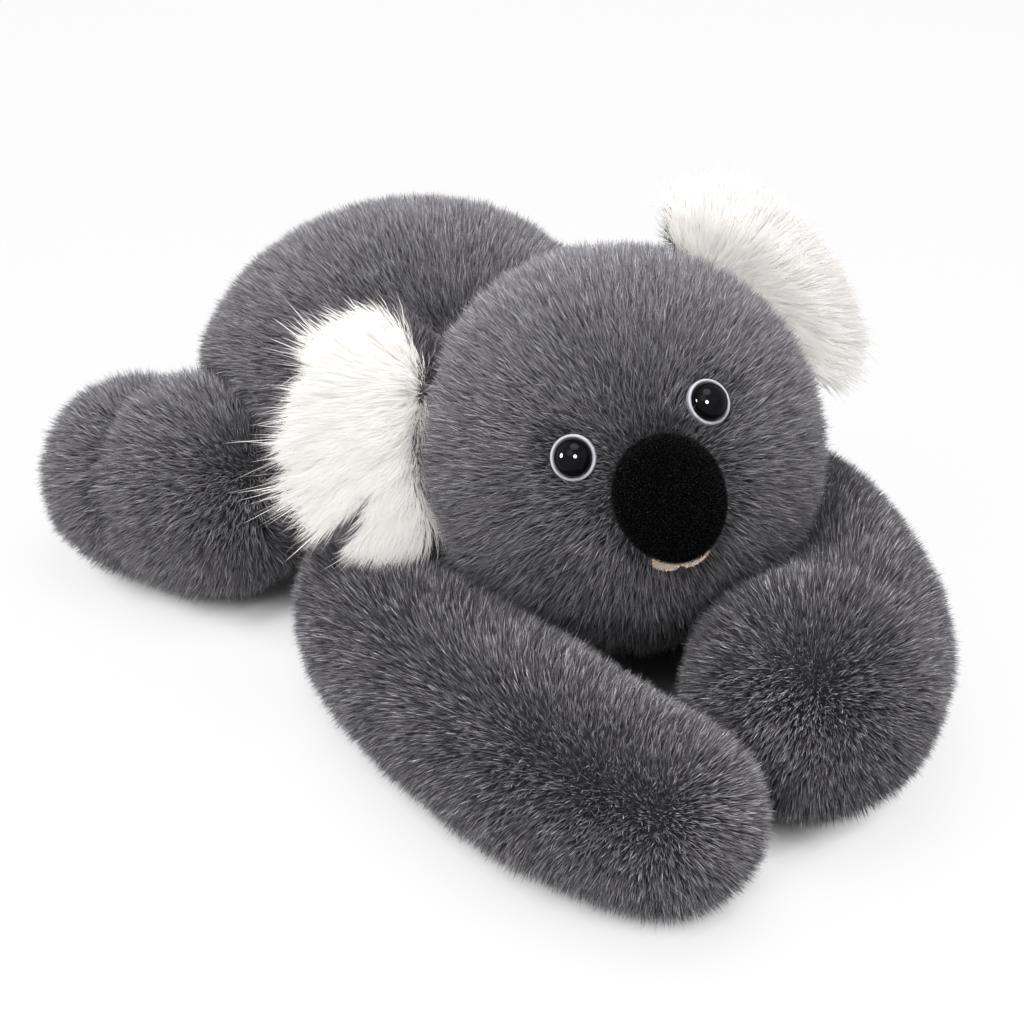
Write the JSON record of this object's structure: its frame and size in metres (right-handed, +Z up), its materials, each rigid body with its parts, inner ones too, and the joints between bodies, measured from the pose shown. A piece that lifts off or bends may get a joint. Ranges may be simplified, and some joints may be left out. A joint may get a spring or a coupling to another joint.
{
  "type": "plush koala",
  "caption": "Plush koala lying on its belly, head turned with its chin between bent arms, long grey fur, fluffy white ears and a large black nose.",
  "frame": {"origin": "on the table, under the middle of the torso, where the belly rests", "axes": "+Z up, +Y from the neck to the rump, +X towards the koala's left side"},
  "size_m": [0.3072, 0.4085, 0.1937],
  "materials": {
    "grey_fur": "long-pile plush, mid grey with lighter tips",
    "white_fur": "long silky pile, warm white",
    "nose_velvet": "short velvet, black",
    "lip_felt": "short felt, beige pink",
    "eye_white": "moulded, glossy",
    "eye_black": "moulded, high gloss",
    "eye_washer": "moulded, satin",
    "filling": "polyester fibre, soft"
  },
  "bodies": {
    "torso": {"torso_filling": "filling", "back_panel": "grey_fur", "belly_panel": "grey_fur"},
    "head": {"face_panel": "grey_fur", "head_back_panel": "grey_fur", "head_filling": "filling", "nose_cover": "nose_velvet", "nose_filling": "filling", "mouth_patch": "lip_felt", "eye_ring_left": "eye_white", "eye_dome_left": "eye_black", "eye_washer_left": "eye_washer", "eye_ring_right": "eye_white", "eye_dome_right": "eye_black", "eye_washer_right": "eye_washer"},
    "ear_left": {"ear_front_left": "white_fur", "ear_back_left": "grey_fur", "ear_padding_left": "filling"},
    "ear_right": {"ear_front_right": "white_fur", "ear_back_right": "grey_fur", "ear_padding_right": "filling"},
    "arm_left": {"arm_left_skin": "grey_fur", "arm_left_filling": "filling"},
    "arm_right": {"arm_right_skin": "grey_fur", "arm_right_filling": "filling"},
    "leg_left": {"leg_left_skin": "grey_fur", "leg_left_filling": "filling", "foot_left_skin": "grey_fur", "foot_left_filling": "filling"},
    "leg_right": {"leg_right_skin": "grey_fur", "leg_right_filling": "filling", "foot_right_skin": "grey_fur", "foot_right_filling": "filling"}
  },
  "joints": [
    {"name": "neck_turn", "type": "hinge", "parent": "torso", "child": "head", "pos_m": [0, -0.1415, 0.108], "axis": [0, 0, 1], "range_deg": [-8, 26]},
    {"name": "ear_fold_left", "type": "hinge", "parent": "head", "child": "ear_left", "pos_m": [0.06141, -0.14539, 0.15739], "axis": [0.5057, -0.5417, -0.6714], "range_deg": [-12, 22], "stiffness_Nm_per_rad": 0.15},
    {"name": "ear_fold_right", "type": "hinge", "parent": "head", "child": "ear_right", "pos_m": [-0.06745, -0.10172, 0.11765], "axis": [0.2914, 0.2716, 0.9172], "range_deg": [-12, 22], "stiffness_Nm_per_rad": 0.15},
    {"name": "shoulder_swing_left", "type": "hinge", "parent": "torso", "child": "arm_left", "pos_m": [0.05, -0.056, 0.03275], "axis": [0, 0, 1], "range_deg": [0, 35]},
    {"name": "shoulder_swing_right", "type": "hinge", "parent": "torso", "child": "arm_right", "pos_m": [-0.05, -0.056, 0.03317], "axis": [0, 0, -1], "range_deg": [0, 35]},
    {"name": "hip_swing_left", "type": "hinge", "parent": "torso", "child": "leg_left", "pos_m": [0.095, 0.021, 0.046], "axis": [0, 0, -1], "range_deg": [0, 30]},
    {"name": "hip_swing_right", "type": "hinge", "parent": "torso", "child": "leg_right", "pos_m": [-0.095, 0.021, 0.046], "axis": [0, 0, 1], "range_deg": [0, 30]}
  ]
}
